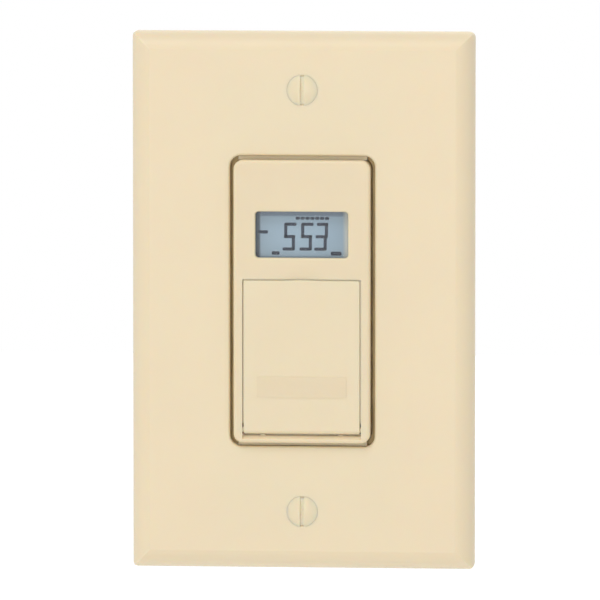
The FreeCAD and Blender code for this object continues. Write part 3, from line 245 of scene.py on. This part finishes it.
lens = bpy.data.cameras.new("camera")
lens.sensor_width = SENSOR
lens.lens = SENSOR * FOCAL_PIXELS / PICTURE_PIXELS
camera = bpy.data.objects.new("camera", lens)
bpy.context.collection.objects.link(camera)
level = math.cos(ELEVATION)
towards = Vector((math.sin(AZIMUTH) * level, -math.cos(AZIMUTH) * level, math.sin(ELEVATION)))
camera.location = TARGET + DISTANCE * towards
camera.rotation_euler = (-towards).to_track_quat("-Z", "Y").to_euler()
bpy.context.scene.camera = camera
bpy.context.scene.view_settings.view_transform = "Standard"

# Mounting strap
# Pressed mild steel, zinc plated and passivated to a dull straw yellow that varies in soft
# blotches. The sheet's rolling marks run up and down it, and its slots and taps are punched.

BLOTCHES_PER_MM = 0.12
BLOTCH_SHEEN = 0.16
MARKS_PER_MM = 3.0
MARK_SHEEN = 0.18
MARK_DEPTH = 0.012


def dress(finish, *names):
    """Gives a finish to nodes of the frame."""
    for name in names:
        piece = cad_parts[name]
        piece.data.materials.clear()
        piece.data.materials.append(finish.material)


def rolled_metal(name, light, dull, roughness, stretch):
    """Plated sheet, with marks drawn out along the axes that stretch makes small."""
    finish = Finish(name, Metallic=1.0)
    blotches = finish.noise(BLOTCHES_PER_MM, 4.0)
    marks = finish.noise(MARKS_PER_MM, 4.0, stretch)
    finish.feed("Base Color", finish.mix(blotches, light, dull))
    finish.feed("Roughness", marks * MARK_SHEEN + blotches * BLOTCH_SHEEN + roughness)
    finish.bump(marks, MARK_DEPTH)
    return finish


UP_AND_DOWN = (1.0, 1.0, 0.04)
zinc_sheet = rolled_metal("zinc_sheet", srgb(196, 174, 130), srgb(160, 139, 103), 0.34, UP_AND_DOWN)
dress(zinc_sheet, "mounting_strap")

# Screws
# Cold-headed steel, zinc plated, with turned marks round the shank. The two that hold the timer in
# its wall box carry a rolled thread of 32 turns to the inch behind their heads.

TURNED = (0.05, 1.0, 0.05)
ZINC_LIGHT = srgb(214, 214, 210)
ZINC_DULL = srgb(170, 171, 170)
zinc_screw = rolled_metal("zinc_screw", ZINC_LIGHT, ZINC_DULL, 0.22, TURNED)
dress(zinc_screw, "board_screws", "power_board_screws", "housing_screws")

INCH = 25.4
THREAD_PITCH = INCH / 32
THREAD_DEPTH = 0.35
BOX_SCREW_HEIGHT = 83.34 / 2
BOX_THREAD_START = 0.3


def cut_thread(finish, screw_height, start):
    """A rolled thread on two screws that stand equally far above and below the timer's middle."""
    height = finish.axis("Z")
    above_axis = height - height.maths("SIGN", height) * screw_height
    turned_by = height.maths("ARCTAN2", finish.axis("X"), above_axis) * (1 / (2 * math.pi))
    along = finish.axis("Y") * (1 / THREAD_PITCH) + turned_by
    ridge = abs(along.maths("FRACT", along) - 0.5) * 2.0
    finish.bump(ridge * (finish.axis("Y") > start), THREAD_DEPTH)


threaded = rolled_metal("threaded_zinc", ZINC_LIGHT, ZINC_DULL, 0.22, TURNED)
cut_thread(threaded, BOX_SCREW_HEIGHT, BOX_THREAD_START)
dress(threaded, "mounting_screws")

# Screw retainers
# Punched squares of dark vulcanised fibre that keep the mounting screws from falling out. The
# fibre is matt, with short felted streaks.

fibre = Finish("vulcanised_fibre", Roughness=0.85)
felt = fibre.noise(2.2, 5.0, (0.35, 1.0, 1.0))
fibre.feed("Base Color", fibre.mix(felt, srgb(96, 70, 52), srgb(62, 46, 38)))
fibre.bump(felt, 0.03)
dress(fibre, "screw_retainers")

# Ground rivet
# A brass rivet, clinched through the strap, that takes the ground wire. Its head is dull from the
# press and darker in spots.

EVERY_WAY = (1.0, 1.0, 1.0)
brass = rolled_metal("dull_brass", srgb(214, 178, 104), srgb(168, 130, 70), 0.3, EVERY_WAY)
dress(brass, "ground_rivet")

# Rear housing
# A deep box of black flame-retardant thermoset, moulded in one shot. Its skin is satin with a fine
# pebble, and the filler shows as faint grey specks.

GRAINS_PER_MM = 5.0
SHEEN_DRIFT = 0.16


def dark_moulding(name, tone, speck, roughness, pebble):
    """Filled resin with small specks, and a pebbled skin as deep as pebble in millimetres."""
    finish = Finish(name, Specular_IOR_Level=0.4)
    grains = finish.noise(GRAINS_PER_MM, 2.0)
    finish.feed("Base Color", finish.mix(grains * grains, tone, speck))
    finish.feed("Roughness", finish.noise(0.25) * SHEEN_DRIFT + roughness)
    finish.bump(grains, pebble)
    return finish


thermoset = dark_moulding("black_thermoset", srgb(30, 30, 32), srgb(58, 58, 60), 0.42, 0.02)
dress(thermoset, "rear_housing")

# Circuit boards
# Glass-fibre board with a green solder mask. Copper tracks run under the mask as slightly lighter
# bands, and the glass weave shows as a fine grid.

TRACKS_PER_MM = 0.45
TRACK_RUN = (1.0, 0.0, 0.25)
TRACK_EDGE = 0.53
TRACK_HEIGHT = 0.03
WEAVE_PER_MM = 1.6
WEAVE_SHOW = 0.12

board = Finish("green_board", Coat_Weight=0.4, Coat_Roughness=0.15)
tracks = board.noise(TRACKS_PER_MM, 1.0, TRACK_RUN) > TRACK_EDGE
grid = {"Vector": board.place(), "Scale": WEAVE_PER_MM}
weave = board.node("ShaderNodeTexChecker", {}, grid, "Fac")
mask = board.mix(tracks, srgb(18, 84, 44), srgb(40, 118, 62))
board.feed("Base Color", board.mix(weave * WEAVE_SHOW, mask, srgb(120, 150, 96)))
board.feed("Roughness", weave * 0.08 + 0.38)
board.bump(tracks, TRACK_HEIGHT)
dress(board, "logic_board", "power_board")

# Parts on the power board
# The relay, the dropper and filter capacitors, the surge arrester, the rectifier and the fusible
# resistor, each in its own resin, film, enamel or drawn can.

relay_resin = dark_moulding("relay_resin", srgb(30, 72, 132), srgb(52, 96, 152), 0.34, 0.01)
dress(relay_resin, "relay")

film_box = dark_moulding("film_box", srgb(214, 168, 44), srgb(228, 186, 70), 0.3, 0.01)
dress(film_box, "dropper_capacitor")

arrester_dip = dark_moulding("arrester_dip", srgb(34, 84, 140), srgb(58, 108, 160), 0.3, 0.05)
dress(arrester_dip, "surge_varistor")

chip_resin = dark_moulding("chip_resin", srgb(26, 26, 28), srgb(48, 48, 50), 0.5, 0.015)
dress(chip_resin, "microcontroller", "bridge_rectifier")

drawn_can = rolled_metal("drawn_can", srgb(214, 215, 216), srgb(184, 186, 190), 0.24, TURNED)
dress(drawn_can, "filter_capacitors", "timing_crystal")

BAND_PLACE = 1.5
BAND_HALF = 0.5
resistor_enamel = Finish("resistor_enamel", Specular_IOR_Level=0.4)
resistor_low, resistor_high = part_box("fusible_resistor")
resistor_middle = (resistor_low[2] + resistor_high[2]) / 2 / MM
banded = abs(abs(resistor_enamel.axis("Z") - resistor_middle) - BAND_PLACE) < BAND_HALF
chalk = resistor_enamel.noise(2.0)
tan = resistor_enamel.mix(chalk, srgb(206, 178, 140), srgb(190, 160, 122))
resistor_enamel.feed("Base Color", resistor_enamel.mix(banded, tan, srgb(96, 52, 34)))
resistor_enamel.feed("Roughness", chalk * 0.2 + 0.45)
dress(resistor_enamel, "fusible_resistor")

# Header between the boards
# Square tinned pins through a black nylon strip, soldered to both boards. From the power board's
# front face back, only the bare pins are left.

pins_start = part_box("power_board")[0][1] / MM
nylon = Finish("header_nylon", Specular_IOR_Level=0.4)
tinned = nylon.axis("Y") > pins_start
nylon.feed("Base Color", nylon.mix(tinned, srgb(28, 28, 30), srgb(214, 206, 180)))
nylon.feed("Metallic", tinned * 1.0)
nylon.feed("Roughness", nylon.noise(3.0) * 0.15 + 0.4)
dress(nylon, "board_header")

# Push switches
# Five pressed cases on the logic board, each with a black plunger that its key rests on. The
# cases are thin tinned steel with a satin skin.

CASE_DRAW = (1.0, 1.0, 0.3)
case_steel = rolled_metal("switch_steel", srgb(200, 201, 202), srgb(172, 174, 176), 0.34, CASE_DRAW)
dress(case_steel, "push_switches")
plunger_resin = dark_moulding("plunger_resin", srgb(32, 32, 34), srgb(50, 50, 52), 0.4, 0.01)
KEYS = ("on_off", "mode", "minus", "plus", "reset")
dress(plunger_resin, *(key + "_plunger" for key in KEYS))

# Display
# A grey-blue liquid crystal cell in a black holder, on two rubber strips that join it to the board,
# with a silvered sheet behind. Its left, top and bottom edges carry painted shadow of the window's
# walls, and its right edge a pale painted highlight of the lit right wall.

holder_resin = dark_moulding("holder_resin", srgb(30, 30, 32), srgb(46, 46, 48), 0.5, 0.015)
dress(holder_resin, "display_holder")

LAYERS_PER_MM = 5.0
rubber = Finish("contact_rubber", Roughness=0.8, Specular_IOR_Level=0.3)
layers = {"Vector": rubber.place(), "Scale": LAYERS_PER_MM}
stacked = rubber.node("ShaderNodeTexWave", {"bands_direction": "X"}, layers, "Fac")
rubber.feed("Base Color", rubber.mix(stacked, srgb(60, 58, 60), srgb(206, 160, 168)))
rubber.bump(stacked, 0.01)
dress(rubber, "contact_strips")

SIDEWAYS = (0.1, 1.0, 1.0)
silver_sheet = rolled_metal("silver_sheet", srgb(222, 224, 226), srgb(202, 204, 208), 0.4, SIDEWAYS)
dress(silver_sheet, "display_backing")

WINDOW_TONES = [
    (0.12, srgb(142, 164, 180)),
    (0.5, srgb(148, 172, 188)),
    (0.88, srgb(134, 157, 174)),
]
# Painted shade and light: dark bands where the window's walls would shade the cell, and a pale band
# at the right that stands for the lit right wall.
PAINTED_WALL_SHADE_AND_LIGHT = (
    ("Z", 19.3, 19.8, srgb(104, 120, 138)),
    ("Z", 10.5, 10.1, srgb(120, 138, 154)),
    ("X", 9.2, 10.1, srgb(190, 194, 186)),
    ("X", -9.5, -10.0, srgb(72, 84, 98)),
)
CLOUD_SHOW = 0.35

glass_low, glass_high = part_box("display_glass")
glass_width = (glass_high[0] - glass_low[0]) / MM
cell = Finish("display_cell", Specular_IOR_Level=0.3)
from_left = cell.axis("X") * (1 / glass_width) + 0.5
tint = cell.node("ShaderNodeValToRGB", {"stops": WINDOW_TONES}, [from_left])
cell_tone = cell.mix(cell.noise(0.5, 2.0) * CLOUD_SHOW, tint, srgb(150, 174, 190))
# Paints the shadow bands and the pale band of light onto the cell's tone.
for letter, start, end, painted_band_tone in PAINTED_WALL_SHADE_AND_LIGHT:
    cell_tone = cell.mix(cell.fade(letter, start, end), cell_tone, painted_band_tone)
cell.feed("Base Color", cell_tone)
cell.feed("Roughness", cell.noise(0.8) * 0.1 + 0.28)
dress(cell, "display_glass")

clear = Finish("clear_lens", srgb(240, 245, 248), Roughness=0.06, Alpha=0.04)
dress(clear, "display_lens")

# Display figures
# The segments that the crystal turns dark: three slanted figures, a row of day marks above them, a
# dash at the left and a mark in each lower corner. They lie on the cell, under the lens.

STROKE = 0.72
FIGURE_WIDTH = 2.05
FIGURE_HEIGHT = 5.7
FIGURE_SLANT = math.tan(math.radians(6))
FIGURE_DROP = 0.56
FIGURE_PLACES = ((-2.95, "5"), (0.95, "5"), (4.35, "3"))
SEGMENTS_ON = {"3": "abcdg", "5": "acdfg"}
SEGMENT_RUN_ON = 0.8 * STROKE
INK_DEPTH = 0.03
BAR_POINT = 0.3
DAY_MARKS = 7
DAY_ROW = (2.3, 3.66)
DAY_PITCH = 1.12
DAY_MARK = (0.98, 0.66)
CORNER_MARKS = (((-6.15, -4.35), (1.8, 0.8)), ((7.75, -4.4), (2.5, 0.9)))
DASH = ((-9.0, 0.48), (2.2, 0.74))

lens_low, lens_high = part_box("display_lens")
display_middle = Vector((0, glass_low[1] - INK_DEPTH * MM, (lens_low[2] + lens_high[2]) / 2))


def add_bar(mesh, place, size, point=BAR_POINT):
    """A thin bar with its corners cut back, placed in millimetres from the drawing's middle."""
    bar = bmesh.ops.create_cube(mesh, size=1)["verts"]
    bmesh.ops.scale(mesh, vec=(size[0], INK_DEPTH, size[1]), verts=bar)
    edges = dict.fromkeys(edge for vert in bar for edge in vert.link_edges)
    posts = [edge for edge in edges if abs(edge.verts[0].co.y - edge.verts[1].co.y) > INK_DEPTH / 2]
    cut_back = point * min(size)
    cut = bmesh.ops.bevel(
        mesh, geom=posts, offset=cut_back, segments=2, profile=0.5, affect="EDGES", material=-1
    )
    whole = {vert for face in cut["faces"] for vert in face.verts}
    whole |= {vert for vert in bar if vert.is_valid}
    bmesh.ops.translate(mesh, vec=(place[0], 0, place[1]), verts=list(whole))


def add_figure(mesh, figure, across):
    """One slanted seven-segment figure."""
    half, quarter = FIGURE_WIDTH / 2, FIGURE_HEIGHT / 4
    flat = (FIGURE_WIDTH + SEGMENT_RUN_ON, STROKE)
    tall = (STROKE, FIGURE_HEIGHT / 2 + SEGMENT_RUN_ON)
    spots = {
        "a": (0, 2 * quarter, flat),
        "b": (half, quarter, tall),
        "c": (half, -quarter, tall),
        "d": (0, -2 * quarter, flat),
        "e": (-half, -quarter, tall),
        "f": (-half, quarter, tall),
        "g": (0, 0, flat),
    }
    for segment in SEGMENTS_ON[figure]:
        x, z, size = spots[segment]
        add_bar(mesh, (across + x + z * FIGURE_SLANT, z - FIGURE_DROP), size)


def finished(name, mesh, place, finish):
    """Puts a mesh drawn in millimetres at its place and gives it its finish."""
    to_place = Matrix.Translation(place) @ Matrix.Scale(MM, 4)
    bmesh.ops.transform(mesh, matrix=to_place, verts=mesh.verts)
    bmesh.ops.recalc_face_normals(mesh, faces=mesh.faces)
    data = bpy.data.meshes.new(name)
    mesh.to_mesh(data)
    mesh.free()
    data.materials.append(finish.material)
    piece = bpy.data.objects.new(name, data)
    bpy.context.collection.objects.link(piece)
    return piece


figures = bmesh.new()
for across, figure in FIGURE_PLACES:
    add_figure(figures, figure, across)
for index in range(DAY_MARKS):
    shift = (index - (DAY_MARKS - 1) / 2) * DAY_PITCH
    add_bar(figures, (DAY_ROW[0] + shift, DAY_ROW[1]), DAY_MARK)
for place, size in (*CORNER_MARKS, DASH):
    add_bar(figures, place, size)
crystal = Finish("dark_crystal", Specular_IOR_Level=0.2)
crystal.feed("Base Color", crystal.mix(crystal.noise(1.2), srgb(22, 34, 54), srgb(36, 48, 68)))
crystal.feed("Roughness", crystal.noise(2.0) * 0.1 + 0.4)
display_figures = finished("display_figures", figures, display_middle, crystal)
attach(display_figures, "timer")

# Battery
# A lithium cell in a plain dark sleeve that keeps the time. Its sleeve shrinks over the rim, and
# the bare nickel cap faces the room.

CAP_DEPTH = 0.9
battery_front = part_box("battery")[0][1] / MM
sleeve = Finish("cell_sleeve")
bare_cap = sleeve.axis("Y") < battery_front + CAP_DEPTH
wrinkle = sleeve.noise(0.7, 2.0)
sleeve.feed("Base Color", sleeve.mix(bare_cap, srgb(58, 62, 70), srgb(206, 204, 198)))
sleeve.feed("Metallic", bare_cap * 1.0)
sleeve.feed("Roughness", wrinkle * 0.12 + 0.26)
sleeve.bump(wrinkle, 0.03)
dress(sleeve, "battery")

DRAWN_DOWN = (1.0, 1.0, 0.1)
nickel = rolled_metal("spring_nickel", srgb(220, 216, 206), srgb(192, 188, 178), 0.18, DRAWN_DOWN)
dress(nickel, "battery_front_contact", "battery_spring")

# Keys
# Moulded ivory keys, a shade paler than the bezel, that stand proud of the deck behind the door.
# The plus and minus signs and ON/OFF are printed on them in grey.

TRANSLUCENT = {
    "Subsurface_Weight": 0.5,
    "Subsurface_Radius": (1.0, 0.7, 0.4),
    "Subsurface_Scale": 1.5 * MM,
}
SKIN_PER_MM = 1.4
TONE_DRIFT_PER_MM = 0.06


def ivory_plastic(name, tone, shade, roughness, grain):
    """Moulded ivory plastic: a slow drift of tone, a satin skin and a very fine orange peel."""
    finish = Finish(name, Specular_IOR_Level=0.45, **TRANSLUCENT)
    finish.base = finish.mix(finish.noise(TONE_DRIFT_PER_MM, 2.0), tone, shade)
    finish.feed("Base Color", finish.base)
    finish.feed("Roughness", finish.noise(0.5) * 0.1 + roughness)
    finish.bump(finish.noise(SKIN_PER_MM, 4.0), grain)
    return finish


key_ivory = ivory_plastic("key_ivory", srgb(240, 230, 206), srgb(234, 223, 198), 0.5, 0.02)
dress(key_ivory, *(key + "_button" for key in KEYS))
tray_ivory = ivory_plastic("tray_ivory", srgb(235, 219, 187), srgb(230, 213, 180), 0.44, 0.02)
dress(tray_ivory, "battery_tray")

SIGN_LENGTH = 2.6
SIGN_STROKE = 0.5
SIGN_POINT = 0.1
LETTER_HEIGHT = 3.0
print_ink = Finish("grey_print", Specular_IOR_Level=0.3)
grey = print_ink.mix(print_ink.noise(3.0), srgb(84, 84, 86), srgb(98, 98, 98))
print_ink.feed("Base Color", grey)
print_ink.feed("Roughness", print_ink.noise(4.0) * 0.1 + 0.5)


def key_front(node):
    """The middle of a key's front face."""
    low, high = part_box(node)
    return Vector(((low[0] + high[0]) / 2, low[1] - INK_DEPTH / 2 * MM, (low[2] + high[2]) / 2))


LEVEL_BAR = (SIGN_LENGTH, SIGN_STROKE)
UPRIGHT_BAR = (SIGN_STROKE, SIGN_LENGTH)
for sign, bars in (("minus", [LEVEL_BAR]), ("plus", [LEVEL_BAR, UPRIGHT_BAR])):
    printed = bmesh.new()
    for size in bars:
        add_bar(printed, (0, 0), size, SIGN_POINT)
    mark = finished(sign + "_sign", printed, key_front(sign + "_button"), print_ink)
    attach(mark, sign + "_key")

letters = bpy.data.curves.new("on_off_letters", "FONT")
letters.body = "ON/OFF"
letters.size = LETTER_HEIGHT
letters.extrude = INK_DEPTH / 2
letters.align_x = "CENTER"
letters.align_y = "CENTER"
drawn = bpy.data.objects.new("drawn_letters", letters)
bpy.context.collection.objects.link(drawn)
shown = drawn.evaluated_get(bpy.context.evaluated_depsgraph_get())
flat_letters = bpy.data.meshes.new_from_object(shown)
bpy.data.objects.remove(drawn)
upright_letters = bmesh.new()
upright_letters.from_mesh(flat_letters)
upright = Matrix.Rotation(math.pi / 2, 3, "X")
bmesh.ops.rotate(upright_letters, cent=(0, 0, 0), matrix=upright, verts=upright_letters.verts)
bmesh.ops.remove_doubles(upright_letters, verts=upright_letters.verts, dist=INK_DEPTH / 10)
on_off_letters = finished("on_off_letters", upright_letters, key_front("on_off_button"), print_ink)
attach(on_off_letters, "on_off_key")

# Front bezel
# One moulding in the same ivory as the plate but a little deeper in tone, polished in the tool so
# that it is smoother than the plate.

bezel_ivory = ivory_plastic("bezel_ivory", srgb(234, 217, 184), srgb(230, 213, 180), 0.36, 0.012)
dress(bezel_ivory, "front_bezel")

# Shoulders of the bezel
# An ivory rib above and one below the bezel's face, set back between it and the plate's opening.
# They centre the plate, and make those two gaps shallower and paler than the gaps at the sides.

FACE_WIDTH = 31.37
FACE_HEIGHT = 64.9
SHOULDER_RISE = 0.83
SHOULDER_LIFTS = (1.4, 4.1)
SHOULDER_INSET = 0.9
SEATED = 0.1
DRAWN_IN_PLACE = Vector((0, 0, 0))


def prism(mesh, corners, lifts):
    """A slab between two lifts in millimetres, its corners joined in turn round its middle."""
    back, front = lifts
    verts = [mesh.verts.new((x, -back, z)) for x, z in corners]
    cap = bmesh.ops.contextual_create(mesh, geom=verts)["faces"]
    drawn_out = bmesh.ops.extrude_face_region(mesh, geom=cap, use_keep_orig=True)["geom"]
    ends = [part for part in drawn_out if isinstance(part, bmesh.types.BMVert)]
    bmesh.ops.translate(mesh, vec=(0, back - front, 0), verts=ends)


shoulders = bmesh.new()
side = FACE_WIDTH / 2 - SHOULDER_INSET
for way in (1, -1):
    foot = way * (FACE_HEIGHT / 2 - SEATED)
    crest = way * (FACE_HEIGHT / 2 + SHOULDER_RISE)
    prism(shoulders, [(-side, foot), (-side, crest), (side, crest), (side, foot)], SHOULDER_LIFTS)
bezel_shoulders = finished("bezel_shoulders", shoulders, DRAWN_IN_PLACE, bezel_ivory)
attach(bezel_shoulders, "timer")

# Sill strip
# A low ivory strip along the sill, under the door's hinge barrel. It is moulded with the bezel and
# keeps dust out of the seam at the door's foot.

STRIP_HALF = 13.6
STRIP_FOOT = -30.9
STRIP_TOP = -30.36
STRIP_LIFTS = (4.5, 5.7)

strip = bmesh.new()
left_end = [(-STRIP_HALF, STRIP_FOOT), (-STRIP_HALF, STRIP_TOP)]
right_end = [(STRIP_HALF, STRIP_TOP), (STRIP_HALF, STRIP_FOOT)]
prism(strip, left_end + right_end, STRIP_LIFTS)
sill_strip = finished("sill_strip", strip, DRAWN_IN_PLACE, bezel_ivory)
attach(sill_strip, "timer")

# Door
# The flip-down cover, moulded with its hinge barrel and pins. The bare label pad near its foot
# stands a hair proud, and is a touch deeper in tone than the leaf.

LABEL_MIDDLE = -19.6
LABEL_SIZE = (20.6, 4.8)
door_ivory = ivory_plastic("door_ivory", srgb(236, 220, 187), srgb(232, 216, 183), 0.36, 0.012)
beside = abs(door_ivory.axis("X")) < LABEL_SIZE[0] / 2
between = abs(door_ivory.axis("Z") - LABEL_MIDDLE) < LABEL_SIZE[1] / 2
labelled = door_ivory.mix(beside * between, door_ivory.base, srgb(230, 213, 180))
door_ivory.feed("Base Color", labelled)
dress(door_ivory, "door")

# Step round the door's edge
# Behind the leaf's front a thin lip reaches nearly to the bezel along the top and both sides, so
# the seam is a shallow groove. The lip is the rim of a sheet that is sunk in the leaf.

LIP_REACH = 0.24
LIP_LIFTS = (6.05, 7.15)
LIP_END = -27.9
LIP_CORNER = 0.5
CORNER_STEPS = 6
LEAF_HALF = 13.35
LEAF_TOP = 4.9


def lip_corners():
    """Up the left side, over the top and down the right, and then those sunk in the leaf."""
    reach, top = LEAF_HALF + LIP_REACH, LEAF_TOP + LIP_REACH
    corners = [(-reach, LIP_END)]
    for centre, start in ((LIP_CORNER - reach, math.pi), (reach - LIP_CORNER, math.pi / 2)):
        for step in range(CORNER_STEPS + 1):
            turn = start - step / CORNER_STEPS * math.pi / 2
            x = centre + LIP_CORNER * math.cos(turn)
            z = top - LIP_CORNER + LIP_CORNER * math.sin(turn)
            corners.append((x, z))
    inner, ceiling = LEAF_HALF - SEATED, LEAF_TOP - SEATED
    corners += [(reach, LIP_END), (inner, LIP_END), (inner, ceiling)]
    return corners + [(-inner, ceiling), (-inner, LIP_END)]


lip = bmesh.new()
prism(lip, lip_corners(), LIP_LIFTS)
door_lip = finished("door_lip", lip, DRAWN_IN_PLACE, door_ivory)
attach(door_lip, "door")

# Wall plate and its screws
# Moulded ivory plastic with a satin skin. The two oval-head screws are steel, with ivory enamel on
# their heads and bare zinc on their threads. The enamel in their slots is painted paler, as painted
# light that offsets the shade in them.

plate_ivory = ivory_plastic("plate_ivory", srgb(237, 222, 189), srgb(234, 218, 186), 0.4, 0.016)
dress(plate_ivory, "wall_plate")

PLATE_SCREW_HEIGHT = 96.84 / 2
HEAD_HEIGHT = 2.9
SLOT_DEPTH = 1.0

screw_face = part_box("plate_screws")[0][1] / MM
enamelled = Finish("ivory_enamel", Specular_IOR_Level=0.5, **TRANSLUCENT)
shank = enamelled.axis("Y") > screw_face + HEAD_HEIGHT
in_slot = enamelled.axis("Y") > screw_face + SLOT_DEPTH
# Painted light: the enamel in the slots is paler, to offset the shade that falls in them.
painted_slot_light = enamelled.mix(enamelled.noise(2.5, 4.0), srgb(252, 242, 216), srgb(240, 228, 198))
enamel = enamelled.mix(in_slot, srgb(234, 219, 186), painted_slot_light)
plated = enamelled.mix(enamelled.noise(0.8), ZINC_LIGHT, ZINC_DULL)
enamelled.feed("Base Color", enamelled.mix(shank, enamel, plated))
enamelled.feed("Metallic", shank * 1.0)
enamelled.feed("Roughness", enamelled.noise(1.2) * 0.1 + 0.3)
cut_thread(enamelled, PLATE_SCREW_HEIGHT, screw_face + HEAD_HEIGHT)
dress(enamelled, "plate_screws")
